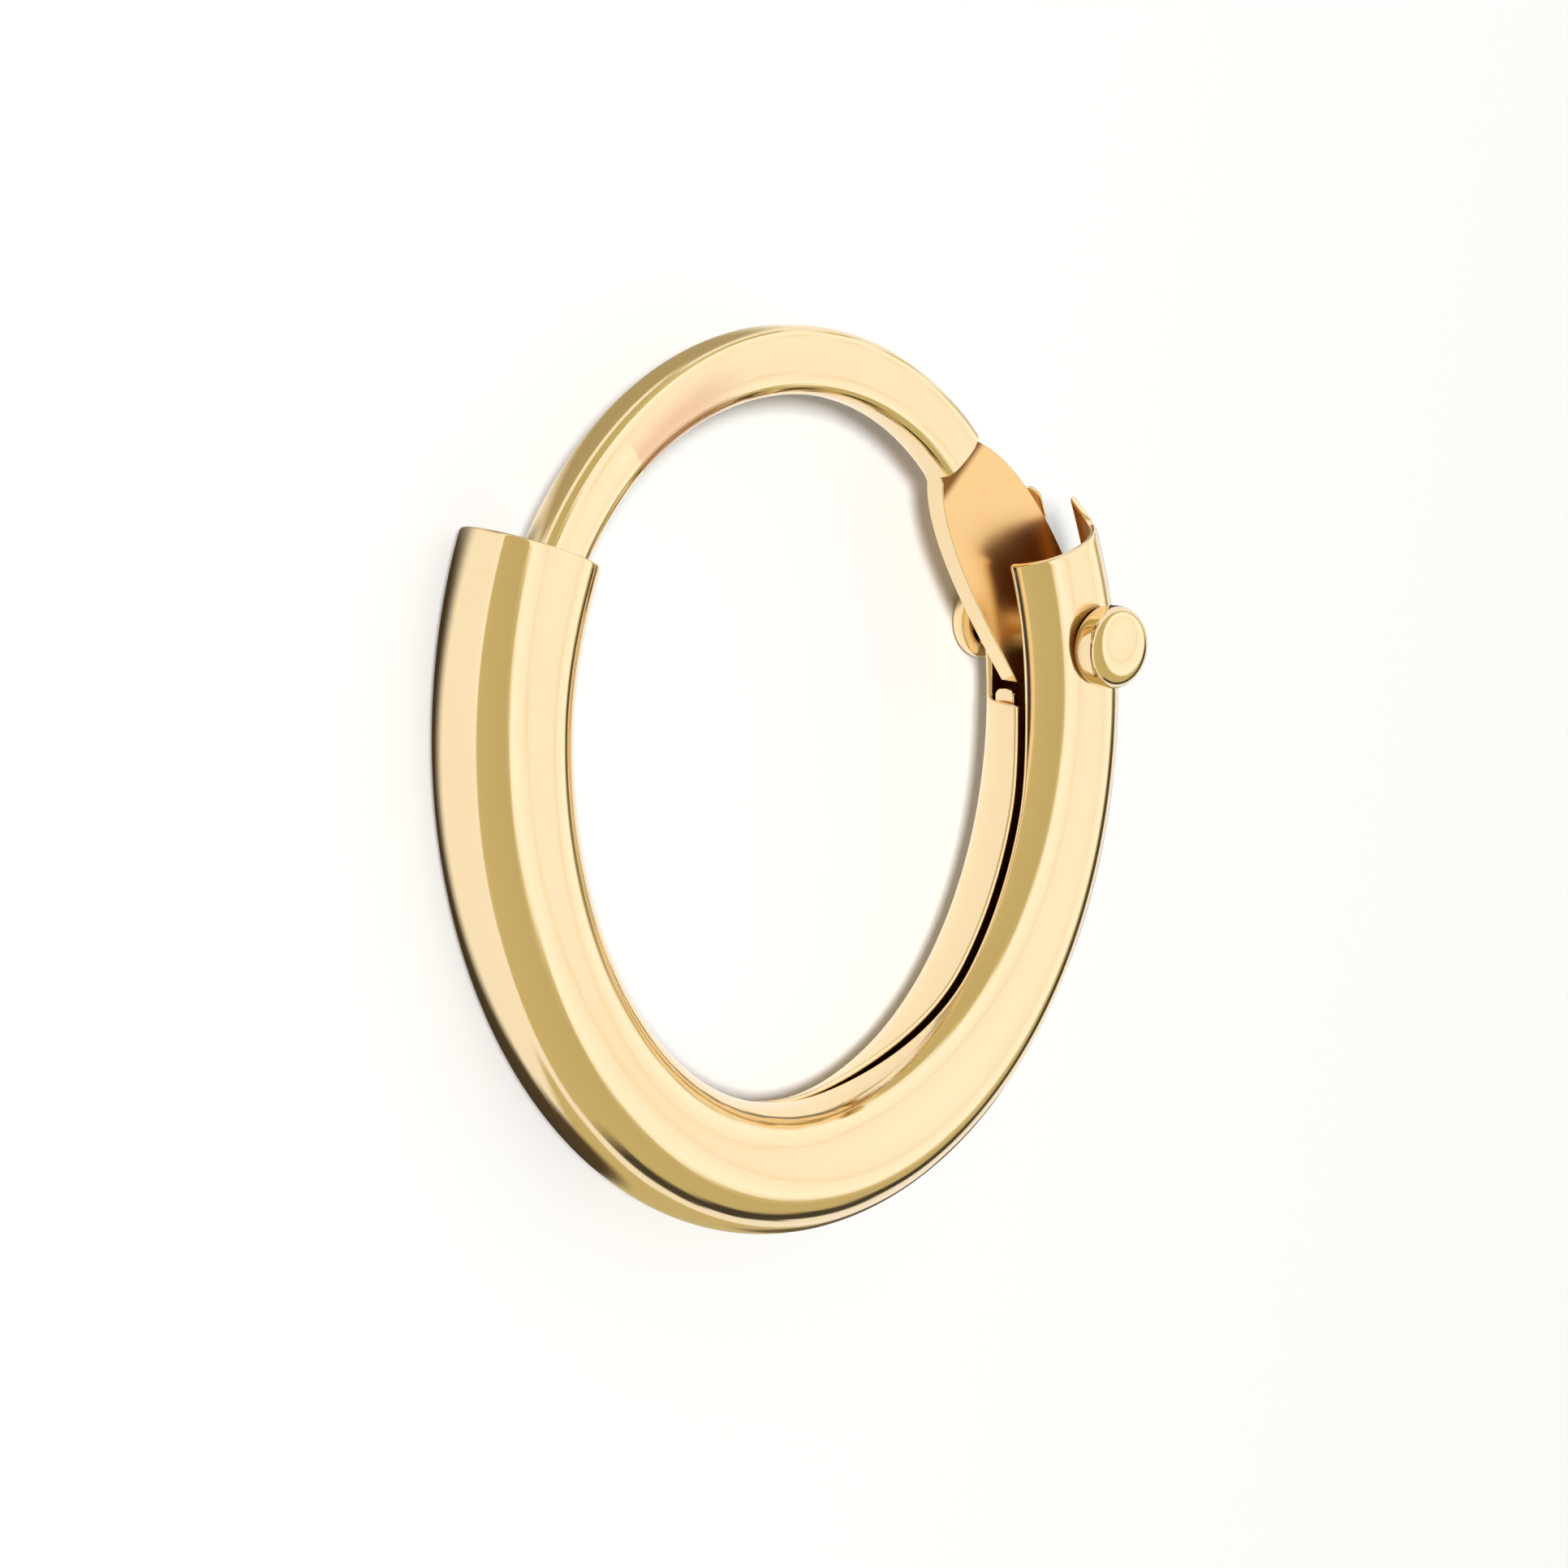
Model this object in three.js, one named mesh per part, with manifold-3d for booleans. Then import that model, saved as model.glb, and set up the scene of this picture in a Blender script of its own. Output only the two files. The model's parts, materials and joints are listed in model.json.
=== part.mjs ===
// A small hinged hoop earring in polished yellow gold.
// A hollow tube, rolled from sheet with its seam on the inside, makes the lower part of the hoop.
// A solid ear wire closes it: its tip goes into the tube's latch end, and a flat tongue soldered
// under its other end turns on a rivet between the tube's slotted walls.
// Hoop frame: +X from the hoop's middle to the rivet, +Y to the ear wire, +Z to its front side.
// The whole lies on its side, on the lower rivet head and the tube. Millimetres and degrees.
import * as THREE from "three";
import { mergeVertices } from "three/addons/utils/BufferGeometryUtils.js";
import Module from "manifold-3d";

// Hoop: half sizes of the oval that the tube's middle line follows
const HOOP_HALF_WIDTH = 5.81;
const HOOP_HALF_HEIGHT = 6.92;

// Tube: places along the oval are angles from the rivet's side, places round the tube are
// angles from its inner side by way of the front side
const TUBE_RADIUS = 1.0;
const TUBE_WALL = 0.12;
const LATCH_ANGLE = 144;
const FAR_END_ANGLE = 375.6;
const NEAR_END_ANGLE = 371.6;
const NEAR_END_RISE = 11;
const TUBE_STEPS = 50;
const TUBE_SIDES = 26;

// Seam: a narrow slit whose lower lip stands proud on the hinge half of the tube
const SEAM_GAP = 0.08;
const SEAM_TURN_LATCH = -10;
const SEAM_TURN_HINGE = 12;
const SEAM_TURN_FROM = 265;
const SEAM_TURN_TO = 310;
const LIP_SPREAD = 0.11;
const LIP_SPREAD_FROM = 240;
const LIP_SPREAD_TO = 285;
const LIP_SPREAD_START = 200;
const LIP_SPREAD_FULL = 330;

// Out of round at the ends: flared inwards at the latch, pinched on the outer side at the hinge
const LATCH_FLARE = 0.06;
const LATCH_FLARE_TO = 166;
const HINGE_PINCH = 0.1;
const HINGE_PINCH_FROM = 350;

// Rivet
const RIVET_ANGLE = -2.65;
const RIVET_RADIUS = 0.34;
const RIVET_FIT = 0.02;
const HEAD_RADIUS = 0.655;
const HEAD_CROWN = 0.5;
const HEAD_UNDER = 0.12;
const HEAD_STAND = 0.16;
const LOW_HEAD_CROWN = 0.39;
const LOW_HEAD_STAND = 0.37;
const LOW_HEAD_SHIFT = 0.16;
const HEAD_GAP = 0.03;

// Tongue: a flat plate on the rivet, cut to a leaf that widens below the ear wire
const TONGUE_THICKNESS = 0.35;
const TONGUE_TOP_Z = -0.04;
const TONGUE_ROOT = 0.9;
const TONGUE_FIT = 0.03;

// Slot on the outer side and cut-away on the inner side, where the tongue swings through
const SLOT_LOW_Z = -0.41;
const SLOT_HIGH_Z = 0.14;
const SLOT_BELOW_RIVET = 0.3;
const CUTAWAY_REACH = 0.62;
const CUTAWAY_LOW_Z = -0.72;
const CUTAWAY_HIGH_Z = 0.17;
const CUTAWAY_BELOW_RIVET = 0.8;
const STOP_HEIGHT = 0.16;
const STOP_LOW_Z = -0.42;
const STOP_HIGH_Z = -0.06;

// Ear wire: round at the latch, squared and flattened on the front side towards the tongue
const WIRE_RADIUS = 0.514;
const WIRE_HEEL_RADIUS = 0.49;
const WIRE_TIP_RADIUS = 0.475;
const WIRE_FLAT_HEIGHT = 0.43;
const WIRE_CORNER = 3.3;
const WIRE_SQUARE_FROM = 125;
const WIRE_SQUARE_TO = 75;
const WIRE_HEEL_INSET = 1.9;
const WIRE_HEEL_RISE = 3.5;
const WIRE_CROWN_RISE = 2.07;
const WIRE_TAIL = 1.5;
const WIRE_FIT = 0.02;
const WIRE_LEAN = 33;
const WIRE_STEPS = 38;
const WIRE_SIDES = 20;

// Way the hoop leans at rest: from the rivet to the side of the tube that touches the table
const REST_HEADING = 190;

const UP = new THREE.Vector3(0, 0, 1);
const rad = THREE.MathUtils.degToRad;
const smooth = (from, to, x) => THREE.MathUtils.smoothstep(x, from, to);
const mix = THREE.MathUtils.lerp;

const wasm = await Module();
wasm.setup();

// Point on the oval at an angle, and the direction that faces away from the hoop's middle.
function hoopPoint(angle) {
  const a = rad(angle);
  return new THREE.Vector3(HOOP_HALF_WIDTH * Math.cos(a), HOOP_HALF_HEIGHT * Math.sin(a), 0);
}

function hoopOutward(angle) {
  const a = rad(angle);
  const across = HOOP_HALF_HEIGHT * Math.cos(a);
  const along = HOOP_HALF_WIDTH * Math.sin(a);
  return new THREE.Vector3(across, along, 0).normalize();
}

// A section's points, given outward and upward, placed on a path's point.
function placeSection(section, point, outward) {
  return section.map((s) => point.clone().addScaledVector(outward, s.x).addScaledVector(UP, s.y));
}

// Closed skin over a row of sections that all have the same number of points.
function skin(sections, rings) {
  const count = rings[0].length;
  const index = [];
  for (let j = 0; j + 1 < rings.length; j++) {
    for (let i = 0; i < count; i++) {
      const a = j * count + i;
      const b = j * count + ((i + 1) % count);
      index.push(a, a + count, b + count, a, b + count, b);
    }
  }
  const last = (rings.length - 1) * count;
  for (const [a, b, c] of THREE.ShapeUtils.triangulateShape(sections[0], [])) {
    index.push(a, b, c);
  }
  for (const [a, b, c] of THREE.ShapeUtils.triangulateShape(sections.at(-1), [])) {
    index.push(last + c, last + b, last + a);
  }
  return new THREE.BufferGeometry().setFromPoints(rings.flat()).setIndex(index);
}

// three.js geometry to a solid, and a solid back to three.js geometry.
function solid(geometry) {
  const plain = geometry.clone();
  plain.deleteAttribute("normal");
  plain.deleteAttribute("uv");
  const merged = mergeVertices(plain, 1e-5);
  const vertProperties = new Float32Array(merged.attributes.position.array);
  const triVerts = new Uint32Array(merged.index.array);
  return new wasm.Manifold(new wasm.Mesh({ numProp: 3, vertProperties, triVerts }));
}

function surface(shape) {
  const mesh = shape.getMesh();
  const geometry = new THREE.BufferGeometry();
  geometry.setAttribute("position", new THREE.BufferAttribute(mesh.vertProperties, 3));
  geometry.setIndex(new THREE.BufferAttribute(mesh.triVerts, 1));
  const flat = geometry.toNonIndexed();
  flat.computeVertexNormals();
  return flat;
}

// Box between two corners, turned about its low corner.
function block(low, high, turn = 0) {
  const size = new THREE.Vector3().subVectors(high, low);
  const box = new THREE.BoxGeometry(size.x, size.y, size.z);
  box.translate(size.x / 2, size.y / 2, size.z / 2);
  box.rotateZ(rad(turn)).translate(low.x, low.y, low.z);
  return solid(box);
}

function upright(radius, halfLength, centre) {
  const bar = new THREE.CylinderGeometry(radius, radius, 2 * halfLength, 28);
  bar.rotateX(Math.PI / 2).translate(centre.x, centre.y, centre.z);
  return solid(bar);
}

const rivetCentre = hoopPoint(RIVET_ANGLE);
const boreRadius = TUBE_RADIUS - TUBE_WALL;

// How far the tube's wall stands out of round, at a place along the oval and round the tube.
function outOfRound(angle, turn) {
  const inner = Math.cos(rad(turn / 2)) ** 2;
  const lip = smooth(LIP_SPREAD_FROM, LIP_SPREAD_TO, angle);
  const latch = 1 - smooth(LATCH_ANGLE, LATCH_FLARE_TO, angle);
  const hinge = smooth(HINGE_PINCH_FROM, FAR_END_ANGLE, angle);
  return (
    LIP_SPREAD * lip * smooth(LIP_SPREAD_START, LIP_SPREAD_FULL, turn) +
    LATCH_FLARE * latch * inner -
    HINGE_PINCH * hinge * (1 - inner)
  );
}

// Section of the rolled wall: out along the outer face and back along the bore.
function tubeSection(angle) {
  const turned = smooth(SEAM_TURN_FROM, SEAM_TURN_TO, angle);
  const seam = mix(SEAM_TURN_LATCH, SEAM_TURN_HINGE, turned);
  const halfGap = THREE.MathUtils.radToDeg(SEAM_GAP / 2 / TUBE_RADIUS);
  const outer = [];
  const inner = [];
  for (let i = 0; i <= TUBE_SIDES; i++) {
    const turn = mix(seam + halfGap, seam + 360 - halfGap, i / TUBE_SIDES);
    const face = TUBE_RADIUS + outOfRound(angle, turn);
    const dir = new THREE.Vector2(-Math.cos(rad(turn)), Math.sin(rad(turn)));
    outer.unshift(dir.clone().multiplyScalar(face));
    inner.push(dir.clone().multiplyScalar(face - TUBE_WALL));
  }
  return [...outer, ...inner];
}

// Full round section that holds the tube's outer face with a gap round it.
function envelopeSection(angle, gap) {
  const points = [];
  for (let i = 0; i < TUBE_SIDES; i++) {
    const turn = 360 - (i * 360) / TUBE_SIDES;
    const face = TUBE_RADIUS + gap + outOfRound(angle, turn);
    points.push(new THREE.Vector2(-Math.cos(rad(turn)) * face, Math.sin(rad(turn)) * face));
  }
  return points;
}

function sweepTube(sectionAt, from, to, steps) {
  const angles = Array.from({ length: steps + 1 }, (_, j) => mix(from, to, j / steps));
  const sections = angles.map(sectionAt);
  const rings = angles.map((a, j) => placeSection(sections[j], hoopPoint(a), hoopOutward(a)));
  return solid(skin(sections, rings));
}

// The rolled tube with its cut ends, swing slots, rivet holes and stop.
function hoopTube() {
  let tube = sweepTube(tubeSection, LATCH_ANGLE, FAR_END_ANGLE, TUBE_STEPS);
  const beyond = 2 * TUBE_RADIUS;
  const { x, y } = rivetCentre;
  const corner = (dx, cy, z) => new THREE.Vector3(x + dx, cy, z);

  const nearEnd = hoopPoint(NEAR_END_ANGLE);
  const nearTurn = NEAR_END_ANGLE - 360 + NEAR_END_RISE;
  const endLow = nearEnd.clone().setZ(SLOT_HIGH_Z);
  endLow.x -= beyond * Math.cos(rad(nearTurn));
  endLow.y -= beyond * Math.sin(rad(nearTurn));
  const endHigh = endLow.clone().add(new THREE.Vector3(2 * beyond, beyond, beyond));
  tube = tube.subtract(block(endLow, endHigh, nearTurn));

  const top = y + HOOP_HALF_HEIGHT;
  const slotBottom = y - SLOT_BELOW_RIVET;
  tube = tube.subtract(block(corner(0, slotBottom, SLOT_LOW_Z), corner(beyond, top, SLOT_HIGH_Z)));

  const cutBottom = y - CUTAWAY_BELOW_RIVET;
  const cutLow = corner(-beyond, cutBottom, CUTAWAY_LOW_Z);
  tube = tube.subtract(block(cutLow, corner(-CUTAWAY_REACH, top, CUTAWAY_HIGH_Z)));

  const stopFace = TUBE_RADIUS + LIP_SPREAD - TUBE_WALL;
  const stopLow = corner(-stopFace, cutBottom - STOP_HEIGHT, STOP_LOW_Z);
  const stopHigh = corner(-stopFace + TUBE_WALL, cutBottom + STOP_HEIGHT / 2, STOP_HIGH_Z);
  tube = tube.add(block(stopLow, stopHigh));

  return tube.subtract(upright(RIVET_RADIUS + RIVET_FIT, beyond, rivetCentre));
}

// The wire's section: squared by a share on the front side, round on the other.
function wireSection(radius, square) {
  const points = [];
  for (let i = 0; i < WIRE_SIDES; i++) {
    const a = (2 * Math.PI * i) / WIRE_SIDES;
    const power = a > 0 && a < Math.PI ? mix(1, 2 / WIRE_CORNER, square) : 1;
    const height = a < Math.PI ? mix(radius, WIRE_FLAT_HEIGHT, square) : radius;
    const across = Math.sign(Math.cos(a)) * Math.abs(Math.cos(a)) ** power;
    const up = Math.sign(Math.sin(a)) * Math.abs(Math.sin(a)) ** power;
    points.push(new THREE.Vector2(radius * across, height * up));
  }
  return points;
}

// The ear wire's arc: from its heel over the rivet, over the crown, to its seat in the latch.
function wireArc() {
  const heel = rivetCentre.clone();
  heel.x -= WIRE_HEEL_INSET;
  heel.y += WIRE_HEEL_RISE;
  const room = boreRadius - WIRE_TIP_RADIUS - WIRE_FIT;
  const inward = hoopOutward(LATCH_ANGLE).negate();
  const mouth = hoopPoint(LATCH_ANGLE).addScaledVector(inward, room * Math.cos(rad(WIRE_LEAN)));
  const chord = heel.clone().sub(mouth);
  const half = chord.length() / 2;
  const radius = (half * half + WIRE_CROWN_RISE * WIRE_CROWN_RISE) / (2 * WIRE_CROWN_RISE);
  const rise = new THREE.Vector3().crossVectors(UP, chord).normalize();
  const centre = mouth.clone().lerp(heel, 0.5).addScaledVector(rise, WIRE_CROWN_RISE - radius);
  const angleOf = (p) => Math.atan2(p.y - centre.y, p.x - centre.x);
  const lift = room * Math.sin(rad(WIRE_LEAN));
  return { heel, centre, radius, heelTurn: angleOf(heel), mouthTurn: angleOf(mouth), lift };
}

// The flat tongue's leaf outline, from its root in the wire, round the rivet and back.
function tongueOutline(arc) {
  const across = new THREE.Vector2(Math.cos(arc.heelTurn), Math.sin(arc.heelTurn));
  const down = new THREE.Vector2(across.y, -across.x);
  const nearHeel = (out, along) =>
    new THREE.Vector2(arc.heel.x, arc.heel.y)
      .addScaledVector(across, out * WIRE_RADIUS)
      .addScaledVector(down, along * WIRE_RADIUS);
  const nearRivet = (dx, dy) =>
    new THREE.Vector2(rivetCentre.x + dx * TUBE_RADIUS, rivetCentre.y + dy * TUBE_RADIUS);
  const root = TONGUE_ROOT / WIRE_RADIUS;
  const shoulder = nearHeel(1.1, 0.5);
  const brow = nearRivet(-0.27, 3.02);
  const outerEdge = nearRivet(0.5, 1.18);
  const cheek = nearRivet(0.72, 0.6);
  const hip = nearRivet(0.64, -0.1);
  const lowOuter = nearRivet(0.4, -0.66);
  const lowInner = nearRivet(-0.88, -0.5);
  const belly = nearRivet(-1.45, 0.63);
  const waist = nearHeel(-1.92, 1.74);
  const throat = nearHeel(-0.72, 0.52);
  const shape = new THREE.Shape();
  shape.moveTo(...nearHeel(0.7, -root));
  shape.lineTo(...nearHeel(0.8, 0));
  shape.lineTo(...shoulder);
  shape.quadraticCurveTo(...brow, ...outerEdge);
  shape.quadraticCurveTo(...cheek, ...hip);
  shape.lineTo(...lowOuter);
  shape.lineTo(...lowInner);
  shape.bezierCurveTo(...belly, ...waist, ...throat);
  shape.lineTo(...nearHeel(-0.6, 0));
  shape.lineTo(...nearHeel(-0.6, -root));
  return shape;
}

// The solid ear wire with its soldered tongue.
function earWire() {
  const arc = wireArc();
  const tipTurn = arc.mouthTurn + WIRE_TAIL / arc.radius;
  const sections = [];
  const rings = [];
  for (let j = 0; j <= WIRE_STEPS; j++) {
    const turn = mix(arc.heelTurn, tipTurn, j / WIRE_STEPS);
    const outward = new THREE.Vector3(Math.cos(turn), Math.sin(turn), 0);
    const share = Math.min(1, (turn - arc.heelTurn) / (arc.mouthTurn - arc.heelTurn));
    const point = arc.centre.clone().addScaledVector(outward, arc.radius);
    point.z = arc.lift * share * share;
    const degrees = THREE.MathUtils.radToDeg(turn);
    const fromHeel = mix(WIRE_HEEL_RADIUS, WIRE_RADIUS, smooth(0, 0.45, share));
    const radius = mix(fromHeel, WIRE_TIP_RADIUS, smooth(0.45, 1, share));
    sections.push(wireSection(radius, 1 - smooth(WIRE_SQUARE_TO, WIRE_SQUARE_FROM, degrees)));
    rings.push(placeSection(sections[j], point, outward));
  }
  const leaf = new THREE.ExtrudeGeometry(tongueOutline(arc), {
    depth: TONGUE_THICKNESS,
    bevelEnabled: false,
    curveSegments: 8,
  });
  leaf.translate(0, 0, TONGUE_TOP_Z - TONGUE_THICKNESS);
  const hole = upright(RIVET_RADIUS + TONGUE_FIT, TUBE_RADIUS, rivetCentre);
  return solid(skin(sections, rings)).add(solid(leaf)).subtract(hole);
}

// The rivet: a pin with a domed head at each end, flat under the dome, clear of the round tube.
function hingeRivet() {
  const { x, y } = rivetCentre;
  const domeAt = (shift, z, low, high) => {
    const dome = new THREE.SphereGeometry(1, 28, 14);
    dome.rotateX(Math.PI / 2);
    const places = dome.getAttribute("position");
    for (let i = 0; i < places.count; i++) {
      const rise = places.getZ(i) * (places.getZ(i) > 0 ? high : low);
      places.setXYZ(i, places.getX(i) * HEAD_RADIUS, places.getY(i) * HEAD_RADIUS, rise);
    }
    return solid(dome.translate(x, y + shift, z));
  };
  const top = domeAt(0, TUBE_RADIUS + HEAD_STAND, HEAD_UNDER, HEAD_CROWN);
  const lowLevel = -TUBE_RADIUS - LOW_HEAD_STAND;
  const heads = top.add(domeAt(LOW_HEAD_SHIFT, lowLevel, LOW_HEAD_CROWN, HEAD_UNDER));
  const reach = 15;
  const envelope = sweepTube(
    (a) => envelopeSection(a, HEAD_GAP),
    360 + RIVET_ANGLE - reach,
    360 + RIVET_ANGLE + reach,
    6,
  );
  const pinMiddle = rivetCentre.clone().setZ((HEAD_STAND - LOW_HEAD_STAND) / 2);
  const halfPin = TUBE_RADIUS + (HEAD_STAND + LOW_HEAD_STAND) / 2;
  return heads.subtract(envelope).add(upright(RIVET_RADIUS, halfPin, pinMiddle));
}

const GOLD = { metalness: 1.0, roughness: 0.14 };
const pieces = {
  hoop_tube: [hoopTube(), { color: 0xe9c98a, ...GOLD }],
  ear_wire: [earWire(), { color: 0xe6c48c, ...GOLD }],
  hinge_rivet: [hingeRivet(), { color: 0xe7c886, ...GOLD }],
};

const hoop = new THREE.Group();
for (const [name, [shape, finish]] of Object.entries(pieces)) {
  const mesh = new THREE.Mesh(surface(shape), new THREE.MeshStandardMaterial(finish));
  mesh.name = name;
  hoop.add(mesh);
}

// At rest the lower rivet head and the far side of the tube touch the table.
const heading = new THREE.Vector3(Math.cos(rad(REST_HEADING)), Math.sin(rad(REST_HEADING)), 0);
const reachX = HOOP_HALF_WIDTH * heading.x;
const reachY = HOOP_HALF_HEIGHT * heading.y;
const span = Math.hypot(reachX, reachY) - rivetCentre.dot(heading);
const drop = LOW_HEAD_STAND + LOW_HEAD_CROWN;
const axis = new THREE.Vector3().crossVectors(UP, heading);
hoop.quaternion.setFromAxisAngle(axis, Math.asin(drop / span));

const group = new THREE.Group();
group.name = "hinged_hoop_earring";
group.add(hoop);
const box = new THREE.Box3().setFromObject(group, true);
const middle = box.getCenter(new THREE.Vector3());
hoop.position.set(-middle.x, -middle.y, -box.min.z);

export default group;
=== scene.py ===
"""A small hinged hoop earring in polished yellow gold, lying on a pale table.

The hoop is described in its own frame, in millimetres: +X from its middle to the hinge
rivet, +Y to the ear wire, +Z out of its front side. RestPose turns that frame into the
part's frame, in metres. Places along the hoop and round a section are angles in degrees.
"""

import json
import logging
import math
from dataclasses import dataclass, field
from enum import Enum

import bmesh
import bpy
from mathutils import Matrix, Vector
from mathutils.geometry import interpolate_bezier


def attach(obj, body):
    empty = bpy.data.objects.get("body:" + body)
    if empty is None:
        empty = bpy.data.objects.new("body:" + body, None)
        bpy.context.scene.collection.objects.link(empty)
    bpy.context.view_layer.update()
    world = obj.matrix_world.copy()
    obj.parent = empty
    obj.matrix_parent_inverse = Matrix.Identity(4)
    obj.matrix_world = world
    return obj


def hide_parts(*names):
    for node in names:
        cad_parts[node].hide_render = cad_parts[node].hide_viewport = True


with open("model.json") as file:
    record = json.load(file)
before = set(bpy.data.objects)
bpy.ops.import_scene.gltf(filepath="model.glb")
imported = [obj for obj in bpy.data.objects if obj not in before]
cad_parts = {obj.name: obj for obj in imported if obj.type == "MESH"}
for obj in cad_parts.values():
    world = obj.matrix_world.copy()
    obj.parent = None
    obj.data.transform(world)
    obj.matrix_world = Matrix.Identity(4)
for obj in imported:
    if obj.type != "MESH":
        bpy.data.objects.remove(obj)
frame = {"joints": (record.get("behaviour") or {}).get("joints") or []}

LOG = logging.getLogger("earring")
MM = 0.001
WELD = 1e-4
HARD_EDGE = math.radians(38.0)
ROUNDING_FACES = 3
SHADING_WEIGHT = 60
DRILL_SIDES = 64
DRILL_REACH = 2.0

Tree = bpy.types.NodeTree
Socket = bpy.types.NodeSocket
Piece = bpy.types.Object
Finish = bpy.types.Material
Pair = tuple[float, float]
Triple = tuple[float, float, float]


def mix(a: float, b: float, share: float) -> float:
    """The value a share of the way from a to b."""
    return a + (b - a) * share


def spread(a: float, b: float, steps: int) -> list[float]:
    """Evenly spaced values from a to b, both ends kept.

    Args:
        a: first value.
        b: last value.
        steps: number of gaps between the values.

    Returns:
        The steps + 1 values.
    """
    return [mix(a, b, i / steps) for i in range(steps + 1)]


def spread_over(
    edges: tuple[float, ...], steps: tuple[int, ...]
) -> tuple[list[float], list[int]]:
    """Values that run over several stretches, evenly spaced in each.

    Args:
        edges: the stretches' ends in order.
        steps: number of gaps in each stretch.

    Returns:
        The values, and the place among them of each stretch's last one.
    """
    values, lasts = [edges[0]], []
    for low, high, count in zip(edges, edges[1:], steps):
        values += spread(low, high, count)[1:]
        lasts.append(len(values) - 1)
    return values, lasts


def once_round(sides: int) -> list[float]:
    """Evenly spaced angles from 0 to 360 degrees, both ends kept."""
    return [360.0 * i / sides for i in range(sides + 1)]


class Field:
    """A number that nodes work out for each place, with plain arithmetic."""

    def __init__(self, socket: Socket) -> None:
        """Keeps the socket that carries the number and the tree that it is in."""
        self.socket = socket
        self.tree = socket.id_data

    def math(self, operation: str, *others: "Field | float") -> "Field":
        """Puts this number through a Math node with any others.

        Args:
            operation: the node's operation.
            others: fields or plain numbers, for the node's other inputs in order.

        Returns:
            The result.
        """
        made = self.tree.nodes.new("ShaderNodeMath")
        made.operation = operation
        for slot, value in zip(made.inputs, (self, *others)):
            if isinstance(value, Field):
                self.tree.links.new(value.socket, slot)
            else:
                slot.default_value = value
        return Field(made.outputs[0])

    def __add__(self, other: "Field | float") -> "Field":
        """Sum."""
        return self.math("ADD", other)

    def __sub__(self, other: "Field | float") -> "Field":
        """Difference."""
        return self.math("SUBTRACT", other)

    def __rsub__(self, other: float) -> "Field":
        """A plain number less this one."""
        return self.math("MULTIPLY_ADD", -1.0, other)

    def __mul__(self, other: "Field | float") -> "Field":
        """Product."""
        return self.math("MULTIPLY", other)

    def __truediv__(self, other: "Field | float") -> "Field":
        """Quotient."""
        return self.math("DIVIDE", other)

    def __pow__(self, other: "Field | float") -> "Field":
        """Power."""
        return self.math("POWER", other)

    def sin(self) -> "Field":
        """Sine of an angle in degrees."""
        return self.math("RADIANS").math("SINE")

    def cos(self) -> "Field":
        """Cosine of an angle in degrees."""
        return self.math("RADIANS").math("COSINE")

    def signed_power(self, power: "Field | float") -> "Field":
        """The size of this number to a power, with its sign kept."""
        return self.math("SIGN") * self.math("ABSOLUTE") ** power

    def remap(self, way: str, side: str, low: float, high: float) -> "Field":
        """Puts this number through a Map Range node that clamps.

        Args:
            way: how the result runs between its limits.
            side: "From" if the limits are this number's, "To" if they are the result's.
            low: the first limit.
            high: the second limit.

        Returns:
            The result.
        """
        made = self.tree.nodes.new("ShaderNodeMapRange")
        made.interpolation_type = way
        made.inputs[f"{side} Min"].default_value = low
        made.inputs[f"{side} Max"].default_value = high
        self.tree.links.new(self.socket, made.inputs["Value"])
        return Field(made.outputs["Result"])

    def rise(self, low: float, high: float) -> "Field":
        """Share from 0 to 1 between two limits, with soft ends."""
        return self.remap("SMOOTHSTEP", "From", low, high)

    def level(self, low: float, high: float) -> "Field":
        """This share, clamped to 0 and 1, as a number from low to high."""
        return self.remap("LINEAR", "To", low, high)

    def between(self, a: "Field | float", b: "Field") -> "Field":
        """The value this share of the way from a to b."""
        return self * (b - a) + a


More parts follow.
